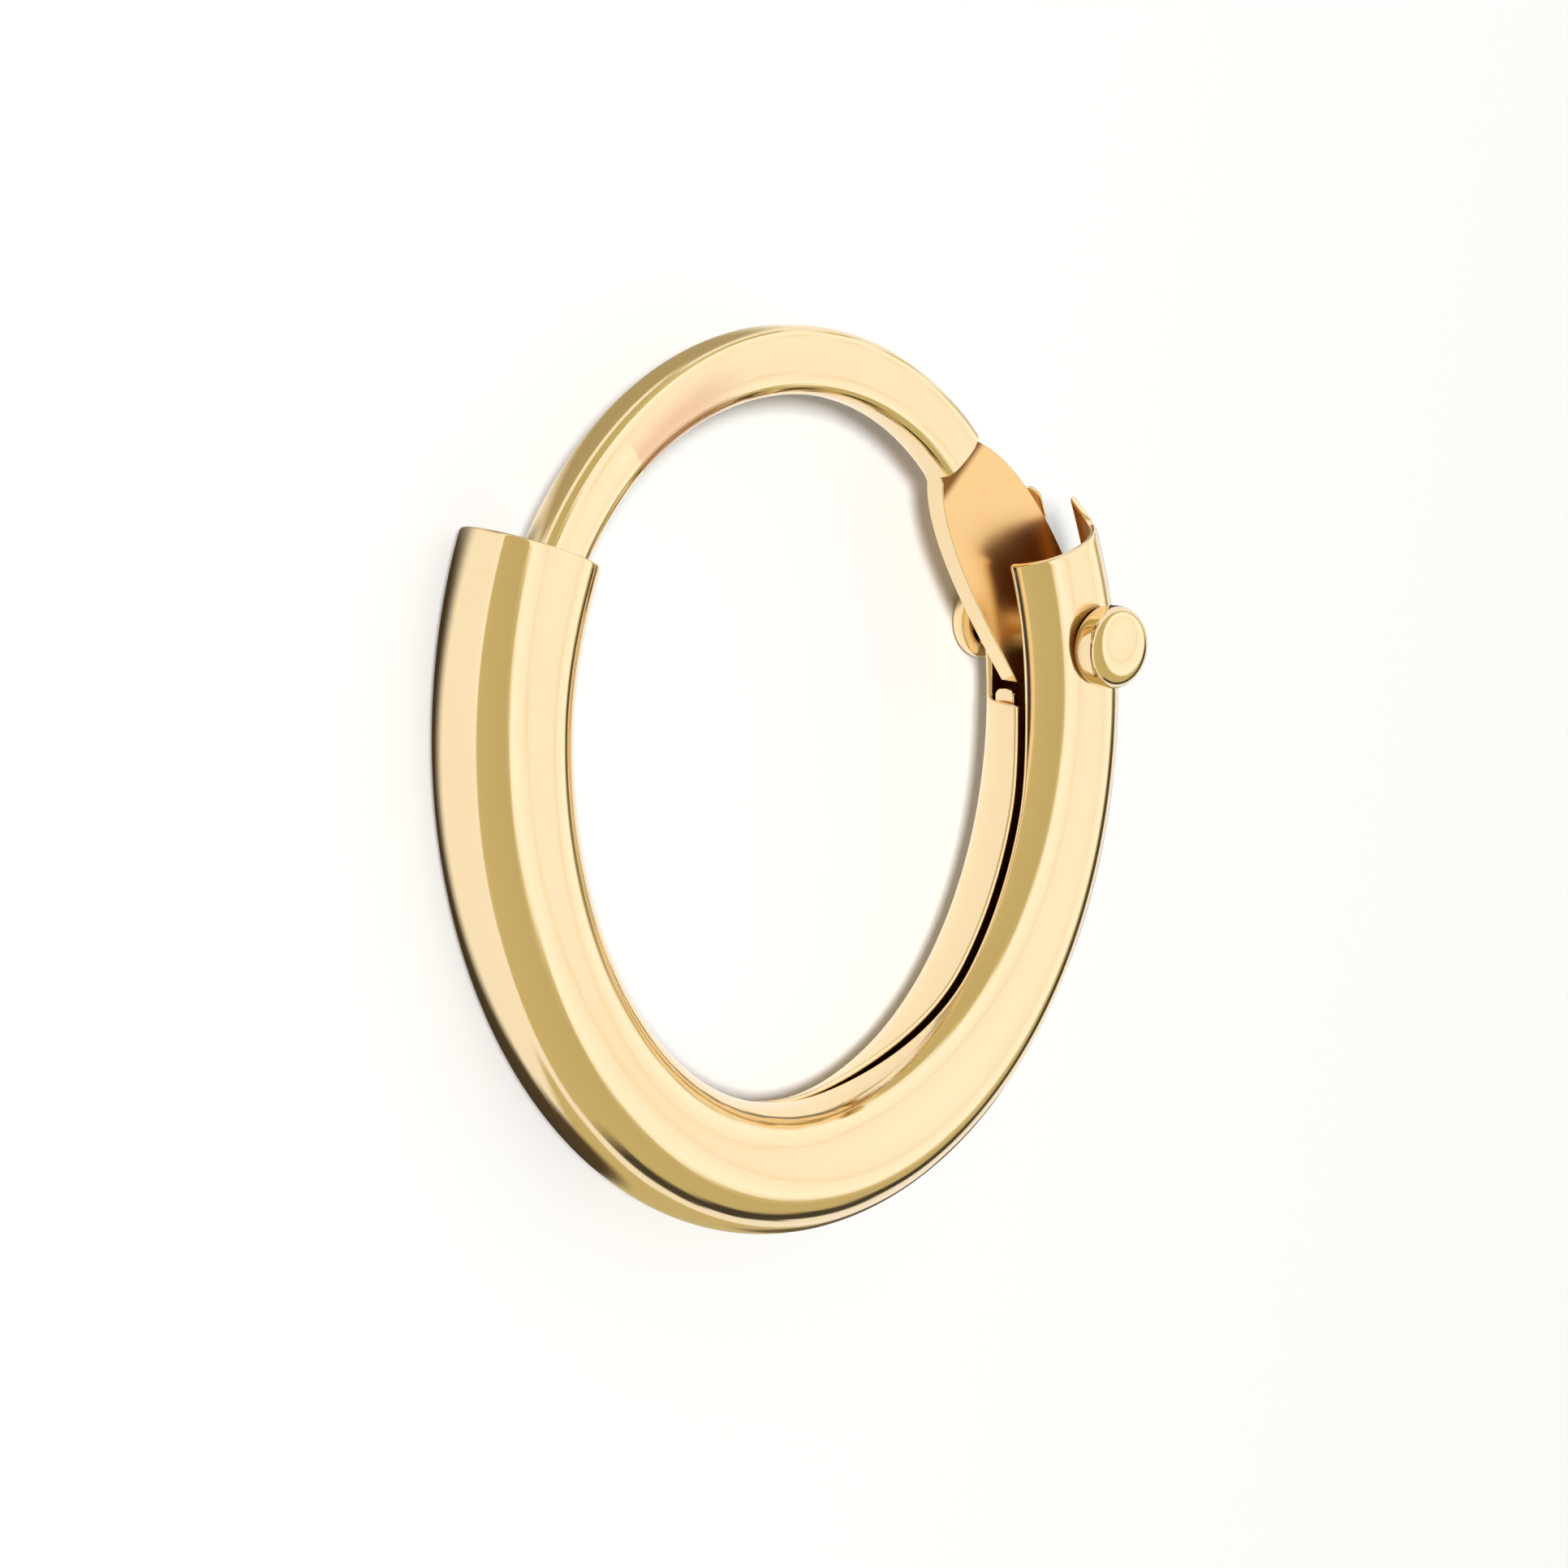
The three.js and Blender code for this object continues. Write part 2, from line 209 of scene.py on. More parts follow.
class FormingTree:
    """A node tree that forms a flat blank, whose points hold two places and a depth."""

    def __init__(self, name: str) -> None:
        """Starts the tree with its geometry sockets and the blank's three coordinates.

        Args:
            name: the tree's name.
        """
        self.tree = bpy.data.node_groups.new(name, "GeometryNodeTree")
        for way in ("INPUT", "OUTPUT"):
            self.tree.interface.new_socket(
                "Geometry", in_out=way, socket_type="NodeSocketGeometry"
            )
        self.entry = self.tree.nodes.new("NodeGroupInput")
        self.exit = self.tree.nodes.new("NodeGroupOutput")
        self.values: dict[str, float] = {}
        self.geometry = self.entry.outputs[0]
        place = self.tree.nodes.new("GeometryNodeInputPosition")
        parts = self.tree.nodes.new("ShaderNodeSeparateXYZ")
        self.tree.links.new(place.outputs[0], parts.inputs[0])
        self.along, self.around, self.depth = (Field(socket) for socket in parts.outputs)

    def sizes(self, **values: float) -> list[Field]:
        """Adds named inputs with their values.

        Args:
            values: the sizes by name.

        Returns:
            The inputs in the same order.
        """
        for name, value in values.items():
            socket = self.tree.interface.new_socket(
                name, in_out="INPUT", socket_type="NodeSocketFloat"
            )
            self.values[socket.identifier] = value
        return [Field(self.entry.outputs[name]) for name in values]

    def keep(self, name: str, value: Field) -> None:
        """Keeps a number on the points, for a material to read.

        Args:
            name: the attribute's name.
            value: the number to keep.
        """
        store = self.tree.nodes.new("GeometryNodeStoreNamedAttribute")
        store.data_type = "FLOAT"
        store.inputs["Name"].default_value = name
        self.tree.links.new(self.geometry, store.inputs["Geometry"])
        self.tree.links.new(value.socket, store.inputs["Value"])
        self.geometry = store.outputs[0]

    def form(self, blank: Piece, point: tuple[Field, Field, Field], finish: Finish) -> None:
        """Moves every point of a blank to its place, closes the surface and settles it.

        Args:
            blank: the flat sheet that takes the tree.
            point: the three coordinates.
            finish: the material of the formed sheet.
        """
        tree = self.tree
        join = tree.nodes.new("ShaderNodeCombineXYZ")
        for value, slot in zip(point, join.inputs):
            tree.links.new(value.socket, slot)
        kinds = ("SetPosition", "MergeByDistance", "RealizeInstances", "SetMaterial")
        steps = [tree.nodes.new(f"GeometryNode{kind}") for kind in kinds]
        tree.links.new(join.outputs[0], steps[0].inputs["Position"])
        steps[1].inputs["Distance"].default_value = WELD
        steps[3].inputs["Material"].default_value = finish
        shape = self.geometry
        for step in steps:
            tree.links.new(shape, step.inputs[0])
            shape = step.outputs[0]
        tree.links.new(shape, self.exit.inputs[0])
        modifier = blank.modifiers.new("form", "NODES")
        modifier.node_group = tree
        for identifier, value in self.values.items():
            modifier[identifier] = value
        settle(blank)


def dot(vector: Socket, way: Vector) -> Field:
    """How far a vector reaches along a direction.

    Args:
        vector: the vector.
        way: the direction.

    Returns:
        The reach.
    """
    tree = vector.id_data
    reach = tree.nodes.new("ShaderNodeVectorMath")
    reach.operation = "DOT_PRODUCT"
    reach.inputs[1].default_value = way
    tree.links.new(vector, reach.inputs[0])
    return Field(reach.outputs["Value"])


def kept(tree: Tree, name: str) -> Field:
    """Reads a number that a forming tree kept on the surface.

    Args:
        tree: the material's nodes.
        name: the name it was kept under.

    Returns:
        The number.
    """
    read = tree.nodes.new("ShaderNodeAttribute")
    read.attribute_name = name
    return Field(read.outputs["Fac"])


def noise(place: Socket, scale: float, detail: float) -> Field:
    """Adds a cloudy pattern.

    Args:
        place: the coordinates it reads.
        scale: waves per unit of them.
        detail: how many finer layers it has.

    Returns:
        The pattern's value.
    """
    tree = place.id_data
    cloud = tree.nodes.new("ShaderNodeTexNoise")
    cloud.inputs["Scale"].default_value = scale
    cloud.inputs["Detail"].default_value = detail
    tree.links.new(place, cloud.inputs["Vector"])
    return Field(cloud.outputs["Fac"])


def blend(share: Field, *tones: "Socket | Triple") -> Socket:
    """Mixes two colours.

    Args:
        share: how much of the second colour there is.
        tones: the two colours, each a socket or plain numbers.

    Returns:
        The mixed colour.
    """
    mixed = share.tree.nodes.new("ShaderNodeMix")
    mixed.data_type = "RGBA"
    share.tree.links.new(share.socket, mixed.inputs["Factor"])
    for name, tone in zip("AB", tones):
        if isinstance(tone, tuple):
            mixed.inputs[name].default_value = (*tone, 1.0)
        else:
            share.tree.links.new(tone, mixed.inputs[name])
    return mixed.outputs["Result"]


@dataclass(frozen=True)
class RestPose:
    """How the hoop lies: leaning on its lower rivet head."""

    pin: Vector

    def matrix(self, joint: dict) -> Matrix:
        """Places the hoop's own frame in the part's frame.

        Args:
            joint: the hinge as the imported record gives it.

        Returns:
            The matrix from millimetres in the hoop's frame to metres in the part's.
        """
        normal = -Vector(joint["axis"]).normalized()
        lean = Vector((0, 0, 1)).rotation_difference(normal).to_matrix()
        offset = Vector(joint["pos_m"]) - lean @ (self.pin * MM)
        return Matrix.Translation(offset) @ lean.to_4x4() @ Matrix.Scale(MM, 4)


class Tone(Enum):
    """The gold's colour on each kind of surface, in linear light, with painted shade in the
    darker tones for the tube's inside, the wire's joint and the rivet heads.
    """

    TUBE = (0.94, 0.76, 0.49)
    WIRE = (0.93, 0.76, 0.49)
    RIVET = (0.94, 0.76, 0.48)
    # Unpolished inner face, darkened further with painted shade inside the tube.
    INSIDE_SHADED = (0.66, 0.34, 0.10)
    TONGUE = (0.93, 0.62, 0.29)
    SATIN = (0.84, 0.55, 0.37)
    # Painted shade and reflection where the wire's end sits over the tongue.
    JOINT_SHADE = (0.24, 0.10, 0.025)
    # Painted shade for the rivet heads' undersides, where they meet the tube.
    HEAD_SHADE = (0.16, 0.05, 0.008)


@dataclass(frozen=True)
class PolishedGold:
    """Polished yellow gold with the faint waves and hairlines that polishing leaves.

    A pattern is its waves per metre and the number of its finer layers. A relief is the
    share of it that shows and its depth in metres.
    """

    name: str
    tone: Tone
    roughness: float = 0.09
    wave_share: float = 0.05
    hairline_share: float = 0.035
    satin: bool = False
    drawn: bool = False
    # Whether painted shade darkens the rivet heads' undersides.
    shade_under_heads: bool = False
    # Where painted shade and reflection darken the tongue below the wire's end.
    shaded_joint: "tuple[Vector, Vector] | None" = None
    tarnish: Triple = (0.97, 0.95, 0.9)
    tarnish_pattern: Pair = (420.0, 3.0)
    gloss_range: Pair = (0.7, 1.3)
    gloss_pattern: Pair = (700.0, 2.0)
    wave_pattern: Pair = (650.0, 1.0)
    wave_depth: float = 4e-5
    hairline_pattern: Pair = (2600.0, 3.0)
    hairline_stretch: Triple = (1.0, 14.0, 3.0)
    hairline_depth: float = 2e-6
    draw_waves: Pair = (1.2, 26.0)
    draw_pattern: Pair = (1.0, 2.0)
    draw_relief: Pair = (0.6, 1e-5)
    satin_roughness: float = 0.12
    # Distances down the tongue from the wire's end over which the painted shade fades, in
    # metres.
    joint_shade_edge: Pair = (3.7e-4, 5.4e-4)

    def make(self) -> Finish:
        """Builds the finish.

        Returns:
            The material.
        """
        finish = bpy.data.materials.new(self.name)
        finish.use_nodes = True
        tree = finish.node_tree
        shader = tree.nodes["Principled BSDF"]
        shader.inputs["Metallic"].default_value = 1.0
        place = tree.nodes.new("ShaderNodeTexCoord").outputs["Object"]
        tone = self.tone.value
        dull = tuple(part * share for part, share in zip(tone, self.tarnish))
        shade = blend(noise(place, *self.tarnish_pattern), dull, tone)
        low, high = (self.roughness * share for share in self.gloss_range)
        polish = noise(place, *self.gloss_pattern).level(low, high)
        if self.satin:
            flat = kept(tree, "satin")
            shade = blend(flat, shade, Tone.SATIN.value)
            polish = flat * self.satin_roughness + polish
        # Painted shade on the rivet heads' undersides, where they meet the tube.
        if self.shade_under_heads:
            shade = blend(kept(tree, "head_shade"), shade, Tone.HEAD_SHADE.value)
        # Painted shade and reflection on the tongue just below the wire's end.
        if self.shaded_joint:
            shade = blend(self.joint_shade_line(place), shade, Tone.JOINT_SHADE.value)
        tree.links.new(shade, shader.inputs["Base Color"])
        tree.links.new(polish.socket, shader.inputs["Roughness"])
        normal = None
        for height, share, depth in self.reliefs(place):
            relief = tree.nodes.new("ShaderNodeBump")
            relief.inputs["Strength"].default_value = share
            relief.inputs["Distance"].default_value = depth
            tree.links.new(height.socket, relief.inputs["Height"])
            if normal:
                tree.links.new(normal, relief.inputs["Normal"])
            normal = relief.outputs[0]
        tree.links.new(normal, shader.inputs["Normal"])
        return finish

    def reliefs(self, place: Socket) -> list[tuple[Field, float, float]]:
        """Lists the finish's reliefs, the broadest first.

        Args:
            place: the coordinates.

        Returns:
            Each relief's height, the share that shows and its depth in metres.
        """
        tree = place.id_data
        stretch = tree.nodes.new("ShaderNodeMapping")
        stretch.inputs["Scale"].default_value = self.hairline_stretch
        tree.links.new(place, stretch.inputs["Vector"])
        waves = noise(place, *self.wave_pattern)
        hairlines = noise(stretch.outputs[0], *self.hairline_pattern)
        found = [
            (waves, self.wave_share, self.wave_depth),
            (hairlines, self.hairline_share, self.hairline_depth),
        ]
        if self.drawn:
            found.append((self.draw_lines(tree), *self.draw_relief))
        return found

    def joint_shade_line(self, place: Socket) -> Field:
        """The narrow band of painted shade and reflection along the joint where the wire's
        end sits over the tongue.

        Args:
            place: the coordinates.

        Returns:
            How much painted shade there is at a place, from 0 to 1.
        """
        start, way = self.shaded_joint
        return 1.0 - (dot(place, way) - start.dot(way)).rise(*self.joint_shade_edge)

    def draw_lines(self, tree: Tree) -> Field:
        """The faint ridges that run along a tube from the plate it was drawn through.

        Args:
            tree: the material's nodes.

        Returns:
            The ridges' height.
        """
        join = tree.nodes.new("ShaderNodeCombineXYZ")
        for name, waves, slot in zip(("along", "around"), self.draw_waves, join.inputs):
            tree.links.new((kept(tree, name) * waves).socket, slot)
        return noise(join.outputs[0], *self.draw_pattern)


def to_object(shape: bmesh.types.BMesh, name: str) -> Piece:
    """Makes a worked shape an object in the scene.

    Args:
        shape: the shape, which is used up.
        name: the object's name.

    Returns:
        The object.
    """
    mesh = bpy.data.meshes.new(name)
    shape.to_mesh(mesh)
    shape.free()
    made = bpy.data.objects.new(name, mesh)
    bpy.context.scene.collection.objects.link(made)
    return made


def sheet(
    name: str, rows: list[list[Vector]], keep: "set[tuple[int, int]] | None" = None
) -> Piece:
    """A flat blank from rows of points, with the cells outside keep cut away.

    Args:
        name: the object's name.
        rows: rows of points, all of one length.
        keep: the cells that stay, by row and column, or None for all.

    Returns:
        The blank.
    """
    shape = bmesh.new()
    made = [[shape.verts.new(p) for p in row] for row in rows]
    for i in range(len(rows) - 1):
        for j in range(len(rows[0]) - 1):
            if keep is None or (i, j) in keep:
                corners = (made[i][j], made[i][j + 1], made[i + 1][j + 1], made[i + 1][j])
                shape.faces.new(corners)
    loose = [v for v in shape.verts if not v.link_faces]
    bmesh.ops.delete(shape, geom=loose, context="VERTS")
    return to_object(shape, name)


def settle(piece: Piece) -> None:
    """Turns a piece's modifiers into its plain mesh.

    Args:
        piece: the piece.
    """
    depsgraph = bpy.context.evaluated_depsgraph_get()
    mesh = bpy.data.meshes.new_from_object(piece.evaluated_get(depsgraph))
    piece.modifiers.clear()
    piece.data = mesh


def soften(piece: Piece, width: float) -> None:
    """Rounds a piece's hard edges and shades the rest smooth.

    Args:
        piece: the object, with its final shape.
        width: the rounding's width in millimetres.
    """
    for face in piece.data.polygons:
        face.use_smooth = True
    bevel = piece.modifiers.new("edges", "BEVEL")
    bevel.width = width
    bevel.segments = ROUNDING_FACES
    bevel.limit_method = "ANGLE"
    bevel.angle_limit = HARD_EDGE
    bevel.miter_outer = "MITER_ARC"
    even = piece.modifiers.new("shading", "WEIGHTED_NORMAL")
    even.keep_sharp = False
    even.weight = SHADING_WEIGHT
    settle(piece)


def cut(piece: Piece, tool: Piece, way: str = "DIFFERENCE") -> None:
    """Cuts a piece with a tool, or joins the tool to it, and removes the tool.

    Args:
        piece: the object that is worked.
        tool: the closed shape that cuts or joins it.
        way: the modifier's operation.
    """
    work = piece.modifiers.new("cut", "BOOLEAN")
    work.operation = way
    work.object = tool
    work.solver = "EXACT"
    settle(piece)
    bpy.data.objects.remove(tool)


def bar(
    radius: float, at: Vector, low: float = -DRILL_REACH, high: float = DRILL_REACH
) -> Piece:
    """A round bar along +Z, used as a drill or a pin.

    Args:
        radius: its radius.
        at: where its middle line crosses height zero.
        low: height of its lower end.
        high: height of its upper end.

    Returns:
        The bar.
    """
    shape = bmesh.new()
    bmesh.ops.create_cone(
        shape,
        cap_ends=True,
        segments=DRILL_SIDES,
        radius1=radius,
        radius2=radius,
        depth=high - low,
        matrix=Matrix.Translation((at.x, at.y, (high + low) / 2)),
    )
    return to_object(shape, "drill")


def place(piece: Piece, to_part: Matrix, body: str, node: str, slot: str) -> None:
    """Puts a finished piece in the part's frame, gives it its body and hides the solid that
    it stands for.

    Args:
        piece: the finished piece, in the hoop's frame.
        to_part: matrix from the hoop's frame to the part's.
        body: the body that it moves with.
        node: the solid that it stands for.
        slot: the record's material slot; not used.
    """
    piece.data.transform(to_part)
    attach(piece, body)
    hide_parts(node)
    LOG.info("%s: %d faces on %s", piece.name, len(piece.data.polygons), body)


@dataclass
class HoopTube:
    """The hollow tube, rolled from a blank of thin sheet that has its cut-outs in it.

    Runs, ends and bottoms are angles along the hoop. Turns are angles round the tube,
    from its inner side over its front.
    """

    half_width: float = 5.81
    half_height: float = 6.92
    radius: float = 1.0
    wall: float = 0.12
    edge_rounding: float = 0.042
    pin_angle: float = -2.65
    latch: float = 144.0
    near_end: float = 371.2
    near_tip: float = 2.9
    near_tip_turn: float = 132.0
    near_tip_curve: float = 1.6
    far_end: float = 375.6
    far_corner: float = 1.5
    far_corner_turns: float = 11.0
    slot_bottom: float = 355.7
    cutaway_bottom: float = 349.5
    slot_turns: Pair = (164.0, 202.0)
    cutaway_turn: float = 303.0
    seam_gap: float = 0.08
    seam_turns: Triple = (-10.0, 14.0, 10.0)
    seam_run: Pair = (265.0, 306.0)
    seam_return_run: Pair = (332.0, 350.0)
    lip_spread: float = 0.10
    lip_run: Pair = (240.0, 285.0)
    lip_turns: Pair = (200.0, 330.0)
    latch_flare: float = 0.06
    flare_end: float = 166.0
    hinge_pinch: float = 0.1
    pinch_run: Pair = (350.0, 375.0)
    steps_round: tuple[int, ...] = (44, 8, 26, 16)
    steps_along: tuple[int, ...] = (230, 8)
    steps_at_hinge: int = 20
    stop_drop: float = 0.8
    stop_foot: float = -0.22
    stop_lean: float = 0.05
    stop_steps: int = 6
    stop_rounding: float = 0.03
    stop_columns: tuple[Triple, ...] = (
        (-0.46, 0.0, 0.1),
        (-0.4, 0.02, 0.17),
        (-0.26, 0.03, 0.19),
        (-0.12, 0.02, 0.17),
        (-0.05, -0.01, 0.1),
    )

    def middle(self, angle: float) -> Vector:
        """The tube's middle at an angle along the hoop."""
        a = math.radians(angle)
        return Vector((self.half_width * math.cos(a), self.half_height * math.sin(a), 0))

    def outward(self, angle: float) -> Vector:
        """The direction away from the hoop's middle.

        Args:
            angle: the place along the hoop.

        Returns:
            The direction.
        """
        a = math.radians(angle)
        across = self.half_height * math.cos(a)
        return Vector((across, self.half_width * math.sin(a), 0)).normalized()

    def near_edge(self, turn: float) -> float:
        """How far along the hoop the near wall reaches.

        Args:
            turn: the place round the tube.

        Returns:
            The angle along the hoop.
        """
        tip = self.near_tip_turn
        rise = max(0.0, (turn - tip) / (self.slot_turns[0] - tip))
        return self.near_end + self.near_tip * rise**self.near_tip_curve

    def far_edge(self, turn: float) -> float:
        """How far along the hoop the far tab reaches at a place round the tube."""
        corner = max(0.0, 1.0 - (turn - self.slot_turns[1]) / self.far_corner_turns)
        return self.far_end - self.far_corner * corner**2

    def blank(self) -> Piece:
        """Lays out the flat sheet with its slot, cut-away and shaped ends.

        Returns:
            The blank; its points hold angles along and round the tube, from the seam.
        """
        half_gap = math.degrees(self.seam_gap / 2 / self.radius)
        edges = (half_gap, *self.slot_turns, self.cutaway_turn, 360.0 - half_gap)
        turns, (near_last, far_first, cut_first, _) = spread_over(edges, self.steps_round)
        levels, (cut_row, slot_row) = spread_over(
            (self.latch, self.cutaway_bottom, self.slot_bottom), self.steps_along
        )
        rows = [[Vector((level, turn, 0)) for turn in turns] for level in levels]
        for share in spread(0.0, 1.0, self.steps_at_hinge)[1:]:
            row = []
            for j, turn in enumerate(turns):
                edge = self.near_edge(turn) if j <= near_last else self.far_edge(turn)
                row.append(Vector((mix(self.slot_bottom, edge, share), turn, 0)))
            rows.append(row)
        keep = set()
        for i in range(len(rows) - 1):
            for j in range(len(turns) - 1):
                in_slot = i >= slot_row and near_last <= j < far_first
                in_cutaway = i >= cut_row and j >= cut_first
                if not in_slot and not in_cutaway:
                    keep.add((i, j))
        return sheet("hoop_tube_sheet", rows, keep)

    def build(self, pin: Vector, hole: float, finish: Finish, inside: Finish) -> Piece:
        """Rolls the blank, gives it its wall, rounds its edges and drills it.

        Args:
            pin: the rivet's place.
            hole: the rivet holes' radius.
            finish: the tube's material.
            inside: the inner face's material: unpolished gold, darkened further with
                painted shade.

        Returns:
            The tube in the hoop's frame.
        """
        tube = self.blank()
        tree = FormingTree("roll the tube")
        wide, high, radius, lip, flare, pinch, at_latch, low, at_hinge = tree.sizes(
            half_width=self.half_width,
            half_height=self.half_height,
            radius=self.radius,
            lip_spread=self.lip_spread,
            latch_flare=self.latch_flare,
            hinge_pinch=self.hinge_pinch,
            seam_at_latch=self.seam_turns[0],
            seam_low=self.seam_turns[1],
            seam_at_hinge=self.seam_turns[2],
        )
        angle = tree.along
        first = angle.rise(*self.seam_run).between(at_latch, low)
        turn = tree.around + angle.rise(*self.seam_return_run).between(first, at_hinge)
        tree.keep("along", angle / 360.0)
        tree.keep("around", turn / 360.0)
        inner = (turn * 0.5).cos() ** 2.0
        stand = lip * angle.rise(*self.lip_run) * turn.rise(*self.lip_turns)
        stand = stand + flare * (1.0 - angle.rise(self.latch, self.flare_end)) * inner
        face = radius + stand - pinch * angle.rise(*self.pinch_run) * (1.0 - inner)
        cosine, sine = angle.cos(), angle.sin()
        across, rise = high * cosine, wide * sine
        length = (across * across + rise * rise).math("SQRT")
        out = turn.cos() * face * -1.0 / length
        point = (wide * cosine + across * out, high * sine + rise * out, turn.sin() * face)
        tree.form(tube, point, finish)
        tube.name = "hoop_tube_rolled"
        wall = tube.modifiers.new("wall", "SOLIDIFY")
        wall.thickness = self.wall
        wall.offset = -1.0
        wall.use_even_offset = True
        wall.material_offset = 1
        tube.data.materials.append(inside)
        settle(tube)
        soften(tube, self.edge_rounding)
        cut(tube, bar(hole, pin))
        return tube

    def stop(self, pin: Vector, finish: Finish) -> Piece:
        """The small lip folded in at the foot of the cut-away.

        Args:
            pin: the rivet's place.
            finish: the tube's material.

        Returns:
            The lip in the hoop's frame.
        """
        left = pin.x - self.radius - self.lip_spread + self.wall
        foot = pin.y - self.stop_drop
        rows = []
        for z, push, top in self.stop_columns:
            column = []
            for share in spread(0.0, 1.0, self.stop_steps):
                lean = self.stop_lean * share * share + push
                height = foot + mix(self.stop_foot, top, share)
                column.append(Vector((left + lean, height, z)))
            rows.append(column)
        lip = sheet("hoop_tube_lip", rows)
        wall = lip.modifiers.new("wall", "SOLIDIFY")
        wall.thickness = self.wall
        wall.offset = 0.0
        settle(lip)
        soften(lip, self.stop_rounding)
        lip.data.materials.clear()
        lip.data.materials.append(finish)
        return lip


@dataclass
class EarWire:
    """The solid ear wire, with the flat tongue that turns on the rivet.

    Turns are directions from the middle of the wire's arc, and shares run from the heel
    at 0 to the latch's mouth at 1.
    """

    tube: HoopTube
    pin: Vector
    radius: float = 0.514
    heel_radius: float = 0.49
    tip_radius: float = 0.475
    thickest: float = 0.45
    flat_height: float = 0.43
    flat_turns: Pair = (75.0, 125.0)
    corner: float = 3.3
    heel_inset: float = 1.9
    heel_rise: float = 3.5
    crown_rise: float = 2.07
    tail: float = 1.5
    fit: float = 0.02
    lean: float = 33.0
    sides: int = 64
    steps: int = 150
    end_edge: float = 0.035
    tip_stretch: float = 3.0
    end_profile: tuple[Pair, ...] = (
        (0.0, 0.0),
        (0.0, 0.5),
        (0.0, 0.9),
        (0.3, 0.965),
        (1.0, 1.0),
    )
    satin_fades: tuple[Pair, Pair] = ((88.0, 104.0), (117.6, 118.4))
    satin_front: Pair = (0.3, 0.6)
    satin_outside: Pair = (-0.1, 0.75)
    tongue_top: float = -0.04
    tongue_thickness: float = 0.35
    tongue_rounding: float = 0.06
    face_slope: float = 0.9
    root: float = 0.9
    outline_steps: tuple[int, int, int] = (22, 8, 30)
    centre: Vector = field(init=False)
    arc_radius: float = field(init=False)
    heel: Vector = field(init=False)
    heel_turn: float = field(init=False)
    mouth_turn: float = field(init=False)
    lift: float = field(init=False)

    def __post_init__(self) -> None:
        """Works out the arc from the heel over the crown to the seat in the latch."""
        self.heel = self.pin + Vector((-self.heel_inset, self.heel_rise, 0))
        room = self.tube.radius - self.tube.wall - self.tip_radius - self.fit
        lean = math.radians(self.lean)
        latch = self.tube.latch
        mouth = self.tube.middle(latch) - self.tube.outward(latch) * room * math.cos(lean)
        chord = self.heel - mouth
        half = chord.length / 2
        self.arc_radius = (half**2 + self.crown_rise**2) / (2 * self.crown_rise)
        up = Vector((0, 0, 1)).cross(chord).normalized()
        self.centre = (mouth + self.heel) / 2 + up * (self.crown_rise - self.arc_radius)
        self.heel_turn = self.turn_of(self.heel)
        self.mouth_turn = self.turn_of(mouth)
        self.lift = room * math.sin(lean)

    def heel_line(self, to_part: Matrix) -> tuple[Vector, Vector]:
        """Where the wire ends on the tongue, in the part's frame.

        Args:
            to_part: matrix from the hoop's frame to the part's.

        Returns:
            A point of the joint and the direction down the tongue from it.
        """
        turn = math.radians(self.heel_turn)
        down = Vector((math.sin(turn), -math.cos(turn), 0))
        return to_part @ self.heel, (to_part.to_3x3() @ down).normalized()

    def turn_of(self, point: Vector) -> float:
        """A point's direction from the arc's centre, in degrees."""
        return math.degrees(math.atan2(point.y - self.centre.y, point.x - self.centre.x))

    def blank(self) -> Piece:
        """Lays out the wire's surface as a flat sheet, with its closed and rounded ends.

        Returns:
            The blank; its points hold the share along, the angle round and the depth.
        """
        arc = math.radians(self.mouth_turn - self.heel_turn) * self.arc_radius
        last = 1.0 + self.tail / arc
        edge = self.end_edge / arc
        tip = self.tip_stretch
        ends = [(edge * part, depth) for part, depth in self.end_profile]
        rings = spread(edge * tip, last - edge * (tip + 1.0), self.steps)
        stations = ends + [(share, 1.0) for share in rings]
        stations += [(last - part * tip, depth) for part, depth in reversed(ends)]
        turns = once_round(self.sides)
        return sheet(
            "ear_wire_drawn",
            [[Vector((share, turn, depth)) for turn in turns] for share, depth in stations],
        )

    def build_wire(self, finish: Finish) -> Piece:
        """Draws the wire over its arc, round at the latch and flatter at the heel.

        Args:
            finish: the wire's material.

        Returns:
            The wire in the hoop's frame.
        """
        wire = self.blank()
        tree = FormingTree("draw the wire")
        arc, x0, y0, heel, mouth, full, thick, thin, flat, corner, lift = tree.sizes(
            arc_radius=self.arc_radius,
            centre_x=self.centre.x,
            centre_y=self.centre.y,
            heel_turn=self.heel_turn,
            mouth_turn=self.mouth_turn,
            radius=self.radius,
            heel_radius=self.heel_radius,
            tip_radius=self.tip_radius,
            flat_height=self.flat_height,
            corner=self.corner,
            lift=self.lift,
        )
        share = tree.along
        turn = share.between(heel, mouth)
        swell = share.rise(0.0, self.thickest).between(thick, full)
        radius = share.rise(self.thickest, 1.0).between(swell, thin)
        cosine, sine = tree.around.cos(), tree.around.sin()
        front = sine.math("GREATER_THAN", WELD)
        squared = front * (1.0 - turn.rise(*self.flat_turns))
        power = squared.between(1.0, corner**-1.0 * 2.0)
        height = squared.between(radius, flat)
        out = arc + cosine.signed_power(power) * radius * tree.depth
        seat = lift * (share.math("MINIMUM", 1.0) ** 2.0)
        level = sine.signed_power(power) * height * tree.depth + seat
        start, end = self.satin_fades
        satin = sine.rise(*self.satin_front) * (1.0 - turn.rise(*end)) * turn.rise(*start)
        tree.keep("satin", satin * (1.0 - cosine.rise(*self.satin_outside)))
        tree.form(wire, (x0 + turn.cos() * out, y0 + turn.sin() * out, level), finish)
        return wire

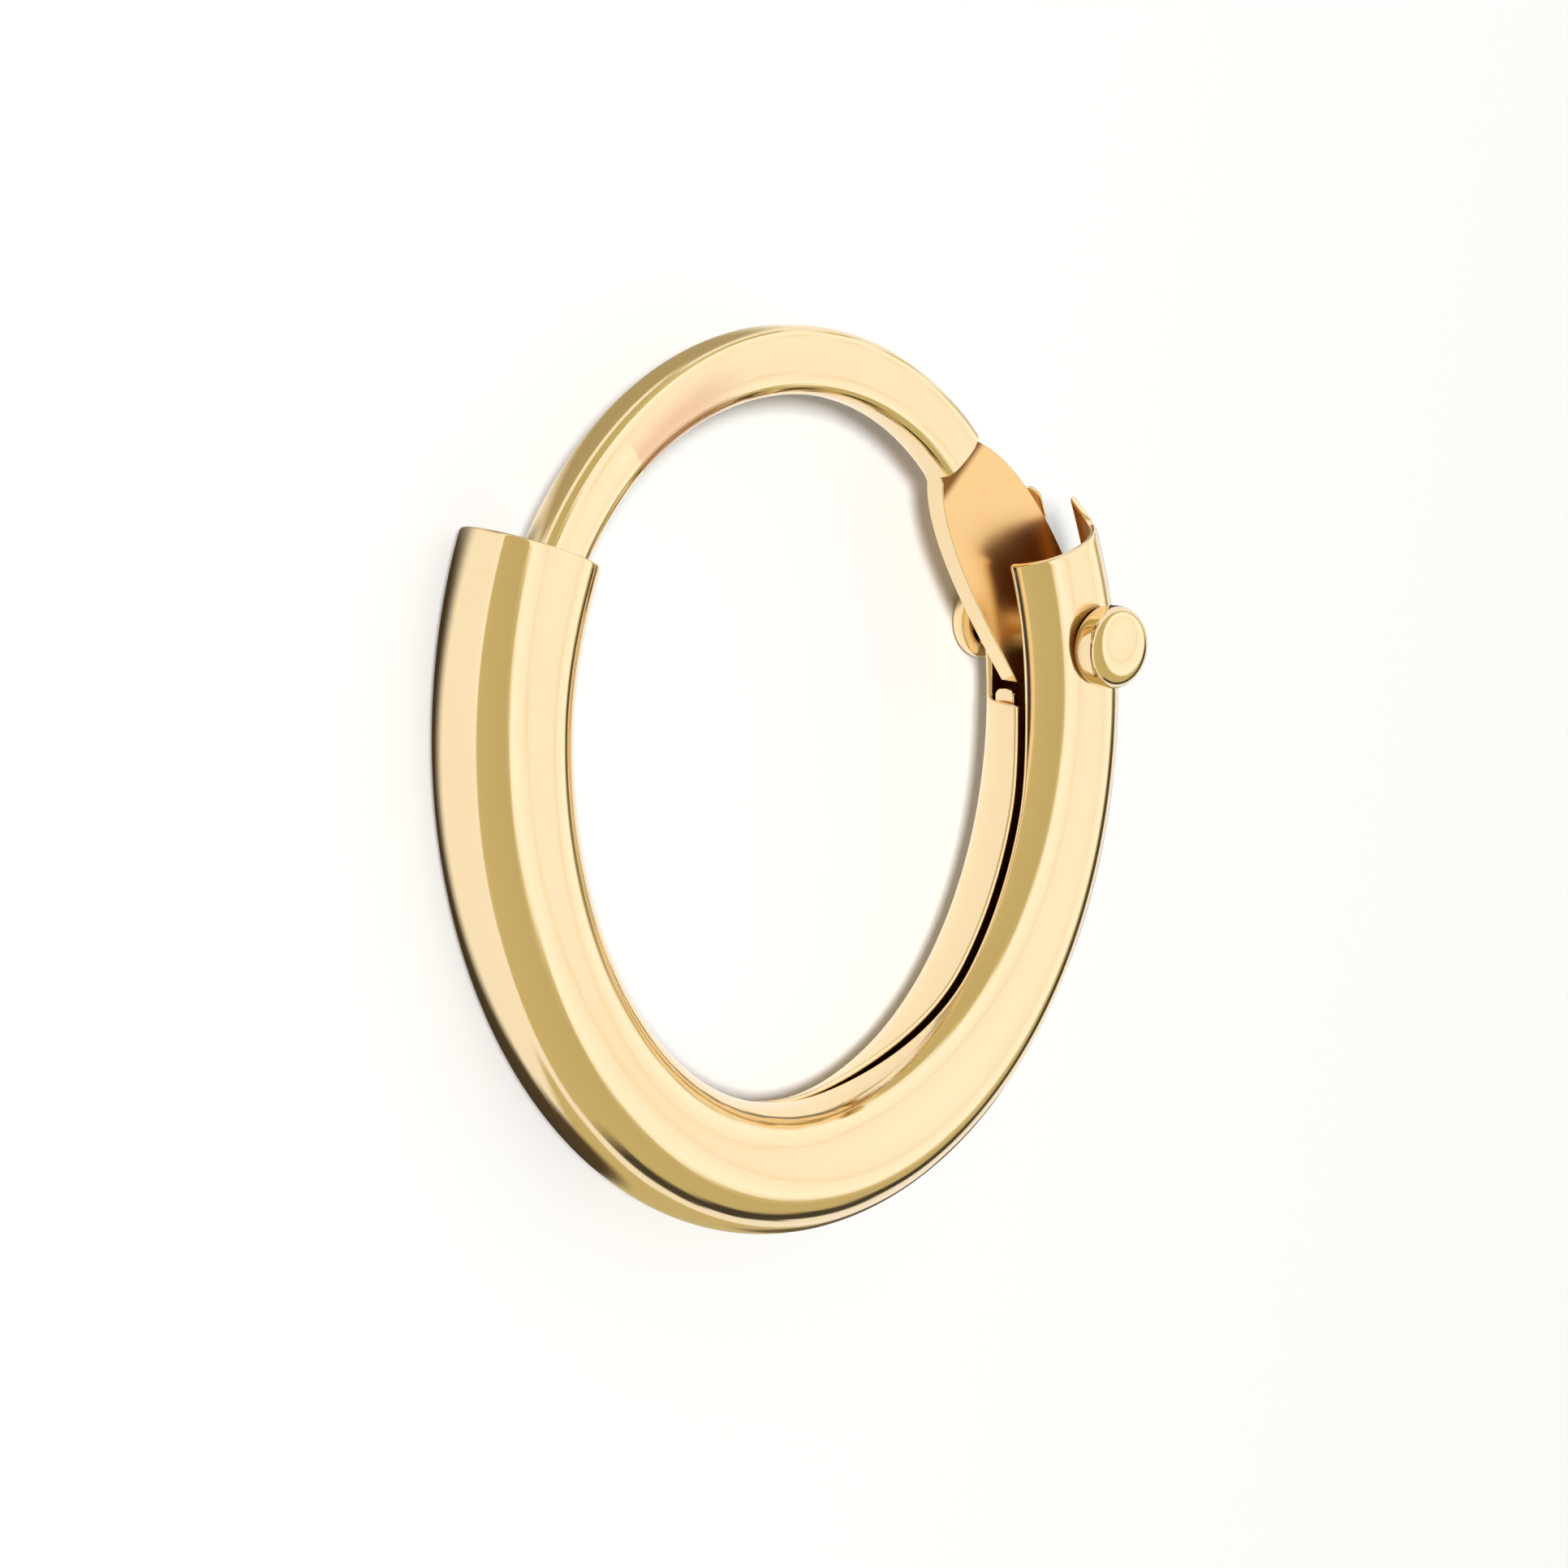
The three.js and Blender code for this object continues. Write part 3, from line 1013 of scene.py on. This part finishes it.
    def outline(self) -> list[Vector]:
        """The tongue's leaf outline, from its root in the wire, round the rivet and back.

        Returns:
            The corner and curve points in order.
        """
        turn = math.radians(self.heel_turn)
        across = Vector((math.cos(turn), math.sin(turn), 0))
        down = Vector((across.y, -across.x, 0))
        unit = self.radius

        def near_heel(out: float, along: float) -> Vector:
            """A point measured from the heel in wire radii."""
            return self.heel + (across * out + down * along) * unit

        def near_rivet(dx: float, dy: float) -> Vector:
            """A point measured from the rivet in tube radii."""
            return self.pin + Vector((dx, dy, 0)) * self.tube.radius

        root = self.root / unit
        shoulder, brow = near_heel(1.1, 0.5), near_rivet(-0.27, 3.02)
        outer, cheek = near_rivet(0.5, 1.18), near_rivet(0.72, 0.6)
        hip, chin = near_rivet(0.64, -0.1), near_rivet(0.4, -0.66)
        foot, belly = near_rivet(-0.88, -0.5), near_rivet(-1.45, 0.63)
        waist, neck = near_heel(-1.92, 1.74), near_heel(-0.72, 0.52)
        upper, side, lower = self.outline_steps
        points = [near_heel(0.7, -root), near_heel(0.8, 0)]
        points += self.quadratic(shoulder, brow, outer, upper)
        points += self.quadratic(outer, cheek, hip, side)[1:]
        points.append(chin)
        points += interpolate_bezier(foot, belly, waist, neck, lower)
        points += [near_heel(-0.6, 0), near_heel(-0.6, -root)]
        return points

    @staticmethod
    def quadratic(a: Vector, b: Vector, c: Vector, steps: int) -> list[Vector]:
        """Points on the curve from a to c that is drawn towards b.

        Args:
            a: first point.
            b: the point that draws the curve.
            c: last point.
            steps: number of gaps between the points.

        Returns:
            The points, both ends kept.
        """
        return [a.lerp(b, t).lerp(b.lerp(c, t), t) for t in spread(0.0, 1.0, steps)]

    def build_tongue(self, hole: float, finish: Finish, edge: Finish) -> Piece:
        """Cuts the tongue from flat stock, drills it and rounds its edges.

        Args:
            hole: radius of its rivet hole.
            finish: the satin material of its two faces.
            edge: the polished material of its edges.

        Returns:
            The tongue in the hoop's frame.
        """
        shape = bmesh.new()
        top = [shape.verts.new(p + Vector((0, 0, self.tongue_top))) for p in self.outline()]
        low = [shape.verts.new(v.co - Vector((0, 0, self.tongue_thickness))) for v in top]
        shape.faces.new(top)
        shape.faces.new(list(reversed(low)))
        for i, v in enumerate(top):
            k = (i + 1) % len(top)
            shape.faces.new((v, low[i], low[k], top[k]))
        bmesh.ops.recalc_face_normals(shape, faces=shape.faces)
        tongue = to_object(shape, "ear_wire_tongue")
        tongue.data.materials.append(finish)
        tongue.data.materials.append(edge)
        cut(tongue, bar(hole, self.pin))
        soften(tongue, self.tongue_rounding)
        for face in tongue.data.polygons:
            face.material_index = int(abs(face.normal.z) < self.face_slope)
        return tongue


@dataclass(frozen=True)
class Head:
    """One domed head of the rivet.

    Attributes:
        name: the piece's name.
        side: +1 for the front side, -1 for the back.
        stand: how far its widest part stands off the tube.
        crown: the dome's height over its widest part.
        under: how deep it is below that.
        shift: how far it sits off the pin's middle.
    """

    name: str
    side: float
    stand: float
    crown: float
    under: float
    shift: float


@dataclass
class HingeRivet:
    """The rivet: a pin through both walls and the tongue, with a domed head at each end."""

    tube: HoopTube
    pin: Vector
    radius: float = 0.34
    fit: float = 0.02
    tongue_fit: float = 0.03
    head_radius: float = 0.655
    flatness: float = 0.62
    gap: float = 0.012
    steps: int = 48
    # Angles up each head over which the painted shade on its underside fades out.
    head_shade_edge: Pair = (-50.0, -6.0)
    near: Head = Head("near_head", 1.0, 0.16, 0.5, 0.42, 0.0)
    far: Head = Head("far_head", -1.0, 0.37, 0.39, 0.12, 0.16)

    def shape_head(self, head: Head, finish: Finish) -> Piece:
        """Shapes one head that sits on the round tube, a hair clear of it.

        Args:
            head: the head's sizes.
            finish: the rivet's material.

        Returns:
            The head in the hoop's frame.
        """
        levels, turns = spread(-90.0, 90.0, self.steps), once_round(self.steps)
        rows = [[Vector((level, turn, 0)) for turn in turns] for level in levels]
        dome = sheet(head.name, rows)
        tree = FormingTree(head.name)
        wide, tall, shallow, flatness, clear, level = tree.sizes(
            head_radius=self.head_radius,
            crown=head.crown,
            underside=head.under,
            crown_flatness=self.flatness,
            clearance=self.tube.radius + self.gap,
            height=self.tube.radius + head.stand,
        )
        ring = tree.along.cos() * wide
        x, y = ring * tree.around.cos(), ring * tree.around.sin()
        sine = tree.along.sin()
        upper = sine.math("GREATER_THAN", 0.0)
        full = sine.signed_power(upper.between(1.0, flatness))
        bare = full * upper.between(shallow, tall) + level
        saddle = (clear * clear - x * x).math("MAXIMUM", 0.0).math("SQRT")
        z = bare.math("MAXIMUM", saddle) * head.side
        # Marks each head's underside, where it meets the tube, for painted shade.
        tree.keep("head_shade", 1.0 - tree.along.rise(*self.head_shade_edge))
        tree.form(dome, (x + self.pin.x, y + (self.pin.y + head.shift), z), finish)
        shape = bmesh.new()
        shape.from_mesh(dome.data)
        bmesh.ops.recalc_face_normals(shape, faces=shape.faces)
        shape.to_mesh(dome.data)
        shape.free()
        for face in dome.data.polygons:
            face.use_smooth = True
        return dome

    def build(self, finish: Finish) -> Piece:
        """Makes the pin and both heads and joins them.

        Args:
            finish: the rivet's material.

        Returns:
            The rivet in the hoop's frame.
        """
        reach = self.tube.radius
        rivet = bar(self.radius, self.pin, -reach - self.far.stand, reach + self.near.stand)
        rivet.name = "hinge_rivet_peened"
        rivet.data.materials.append(finish)
        for face in rivet.data.polygons:
            face.use_smooth = len(face.vertices) == 4
        for head in (self.near, self.far):
            cut(rivet, self.shape_head(head, finish), "UNION")
        return rivet


@dataclass(frozen=True)
class MirroredShade:
    """A patch of painted shade on the table that only the gold mirrors, as a soft oval in
    millimetres.
    """

    middle: Pair
    half: Pair
    tone: Triple
    core: float = 0.72

    def share(self, place: Socket) -> Field:
        """How much of the painted shade there is at a place.

        Args:
            place: the coordinates.

        Returns:
            The share from 0 to 1.
        """
        tree = place.id_data
        parts = tree.nodes.new("ShaderNodeSeparateXYZ")
        tree.links.new(place, parts.inputs[0])
        x, y = (
            (Field(socket) - at * MM) / (half * MM)
            for socket, at, half in zip(parts.outputs, self.middle, self.half)
        )
        return 1.0 - (x * x + y * y).math("SQRT").rise(self.core, 1.0)


@dataclass(frozen=True)
class Studio:
    """The pale table, the soft lights and the camera.

    The camera's place and directions are in the hoop's frame and the light's in the
    part's. A way is a heading and a height in degrees, and an angle from it counts in
    half turns.
    """

    eye: Triple = (-43.92, 19.91, 46.68)
    right: Triple = (0.7003, -0.1158, 0.7044)
    up: Triple = (0.2982, 0.9440, -0.1413)
    lens: float = 102.5
    sensor: float = 36.0
    clip: Pair = (0.001, 20.0)
    canopy_way: Pair = (25.0, 65.0)
    canopy_tones: tuple[tuple[float, Triple], ...] = (
        (0.0, (0.98, 0.97, 0.97)),
        (0.194, (0.90, 0.89, 0.88)),
        (0.206, (0.86, 0.79, 0.66)),
        (0.217, (0.91, 0.90, 0.89)),
        (0.306, (1.0, 1.0, 1.0)),
        (0.328, (0.90, 0.89, 0.84)),
        (0.342, (0.55, 0.49, 0.28)),
        (0.367, (0.49, 0.43, 0.23)),
        (0.833, (0.56, 0.50, 0.28)),
    )
    brightness: float = 1.2
    diffuse_share: float = 0.3
    flag_way: Pair = (-62.0, 0.0)
    flag_edge: Pair = (0.22, 0.29)
    flag_top: Pair = (0.16, 0.24)
    flag_tone: Triple = (0.05, 0.045, 0.035)
    key_at: Triple = (-0.46, 0.21, 0.54)
    key_size: float = 0.1
    key_power: float = 6.3
    table_radius: float = 1.2
    table_sides: int = 96
    table_roughness: float = 0.75
    table_tone: Triple = (0.9, 0.9, 0.9)
    # Patches of painted shade on the table, which only reflections in the gold show.
    mirrored_shades: tuple[MirroredShade, ...] = (
        MirroredShade((-4.5, -9.8), (7.5, 5.2), (0.52, 0.46, 0.25)),
        MirroredShade((-2.2, 11.6), (7.4, 6.4), (0.38, 0.33, 0.20)),
        MirroredShade((-5.2, -0.5), (1.9, 7.6), (0.05, 0.035, 0.02)),
        MirroredShade((9.3, -0.8), (1.9, 7.0), (0.08, 0.06, 0.04)),
        MirroredShade((3.0, -9.1), (5.0, 1.6), (0.10, 0.08, 0.05)),
    )

    def camera(self, to_part: Matrix) -> None:
        """Sets the camera at the photograph's angle to the hoop.

        Args:
            to_part: matrix from the hoop's frame to the part's.
        """
        data = bpy.data.cameras.new("camera")
        data.sensor_width = self.sensor
        data.lens = self.lens
        data.clip_start, data.clip_end = self.clip
        camera = bpy.data.objects.new("camera", data)
        bpy.context.scene.collection.objects.link(camera)
        turn = to_part.to_3x3().normalized()
        right = (turn @ Vector(self.right)).normalized()
        up = (turn @ Vector(self.up)).normalized()
        basis = Matrix((right, up, right.cross(up))).transposed().to_4x4()
        camera.matrix_world = Matrix.Translation(to_part @ Vector(self.eye)) @ basis
        bpy.context.scene.camera = camera
        bpy.context.scene.view_settings.view_transform = "Standard"

    def table(self) -> None:
        """Lays the pale table under the earring, with patches of painted shade that only
        the gold mirrors.
        """
        shape = bmesh.new()
        bmesh.ops.create_circle(
            shape, cap_ends=True, segments=self.table_sides, radius=self.table_radius
        )
        table = to_object(shape, "table")
        finish = bpy.data.materials.new("pale_table")
        finish.use_nodes = True
        tree = finish.node_tree
        shader = tree.nodes["Principled BSDF"]
        shader.inputs["Roughness"].default_value = self.table_roughness
        place = tree.nodes.new("ShaderNodeTexCoord").outputs["Object"]
        shade = self.table_tone
        for pad in self.mirrored_shades:
            shade = blend(pad.share(place), shade, pad.tone)
        # Glossy rays see the painted shade; other rays see the plain table.
        path = tree.nodes.new("ShaderNodeLightPath")
        mirrored = Field(path.outputs["Is Glossy Ray"])
        seen = blend(mirrored, self.table_tone, shade)
        tree.links.new(seen, shader.inputs["Base Color"])
        table.data.materials.append(finish)

    def light(self) -> None:
        """Hangs the key light and the soft bright canopy that draws the gold's bands."""
        world = bpy.data.worlds.new("studio")
        bpy.context.scene.world = world
        world.use_nodes = True
        tree = world.node_tree
        air = tree.nodes["Background"]
        ray = tree.nodes.new("ShaderNodeTexCoord").outputs["Generated"]
        shade = self.canopy(self.angle_from(ray, self.canopy_way))
        beside = 1.0 - self.angle_from(ray, self.flag_way).rise(*self.flag_edge)
        below = 1.0 - dot(ray, Vector((0, 0, 1))).rise(*self.flag_top)
        colour = blend(beside * below, shade, self.flag_tone)
        tree.links.new(colour, air.inputs["Color"])
        path = tree.nodes.new("ShaderNodeLightPath")
        bounces = Field(path.outputs["Diffuse Depth"])
        dim = bounces.level(self.brightness, self.brightness * self.diffuse_share)
        tree.links.new(dim.socket, air.inputs["Strength"])
        self.hang_key()

    def hang_key(self) -> None:
        """Hangs the soft key light, which faces the earring and isn't mirrored in it."""
        data = bpy.data.lights.new("key", "AREA")
        data.shape = "RECTANGLE"
        data.size = data.size_y = self.key_size
        data.energy = self.key_power
        key = bpy.data.objects.new("key", data)
        bpy.context.scene.collection.objects.link(key)
        at = Vector(self.key_at)
        facing = at.to_track_quat("Z", "Y").to_matrix().to_4x4()
        key.matrix_world = Matrix.Translation(at) @ facing
        key.visible_glossy = False

    def canopy(self, angle: Field) -> Socket:
        """The canopy's colour at an angle from its middle.

        Args:
            angle: the angle.

        Returns:
            The colour.
        """
        ramp = angle.tree.nodes.new("ShaderNodeValToRGB")
        stops = ramp.color_ramp.elements
        stops.remove(stops[1])
        (stops[0].position, first), *rest = self.canopy_tones
        stops[0].color = (*first, 1.0)
        for at, tone in rest:
            stops.new(at).color = (*tone, 1.0)
        angle.tree.links.new(angle.socket, ramp.inputs[0])
        return ramp.outputs[0]

    @staticmethod
    def angle_from(ray: Socket, way: Pair) -> Field:
        """How far a direction is from a way.

        Args:
            ray: the direction that is looked along.
            way: the other direction.

        Returns:
            The angle between them, in half turns.
        """
        heading, height = (math.radians(v) for v in way)
        flat = math.cos(height)
        aim = Vector((flat * math.cos(heading), flat * math.sin(heading), math.sin(height)))
        return dot(ray, aim).math("ARCCOSINE") / math.pi


def main() -> None:
    """Builds the studio and each piece of the earring in order."""
    logging.basicConfig(level=logging.INFO, format="%(name)s %(message)s")
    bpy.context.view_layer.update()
    tube = HoopTube()
    pin = tube.middle(tube.pin_angle)
    to_part = RestPose(pin).matrix(frame["joints"][0])
    studio = Studio()
    studio.camera(to_part)
    studio.table()
    studio.light()

    rivet = HingeRivet(tube, pin)
    wire = EarWire(tube, pin)
    tube_gold = PolishedGold("tube_gold", Tone.TUBE, drawn=True).make()
    wire_gold = PolishedGold("wire_gold", Tone.WIRE, satin=True).make()
    # Unpolished inner face, darkened further with painted shade inside the tube.
    inner_gold_shaded = PolishedGold("inner_gold_shaded", Tone.INSIDE_SHADED, roughness=0.34).make()
    tongue_gold = PolishedGold(
        "tongue_gold",
        Tone.TONGUE,
        roughness=0.26,
        wave_share=0.0,
        hairline_share=0.0,
        # Painted shade and reflection on the tongue below the wire's end.
        shaded_joint=wire.heel_line(to_part),
    ).make()
    # The rivet's gold carries painted shade under its heads.
    rivet_gold = PolishedGold("rivet_gold", Tone.RIVET, roughness=0.08, shade_under_heads=True).make()

    rolled = tube.build(pin, rivet.radius + rivet.fit, tube_gold, inner_gold_shaded)
    place(rolled, to_part, "hoop", "hoop_tube", "gold_tube")
    place(tube.stop(pin, tube_gold), to_part, "hoop", "hoop_tube", "gold_tube")
    place(wire.build_wire(wire_gold), to_part, "wire", "ear_wire", "gold_wire")
    tongue = wire.build_tongue(rivet.radius + rivet.tongue_fit, tongue_gold, rivet_gold)
    place(tongue, to_part, "wire", "ear_wire", "gold_wire")
    place(rivet.build(rivet_gold), to_part, "hoop", "hinge_rivet", "gold_rivet")
    bpy.context.view_layer.update()


if __name__ == "__main__":
    main()
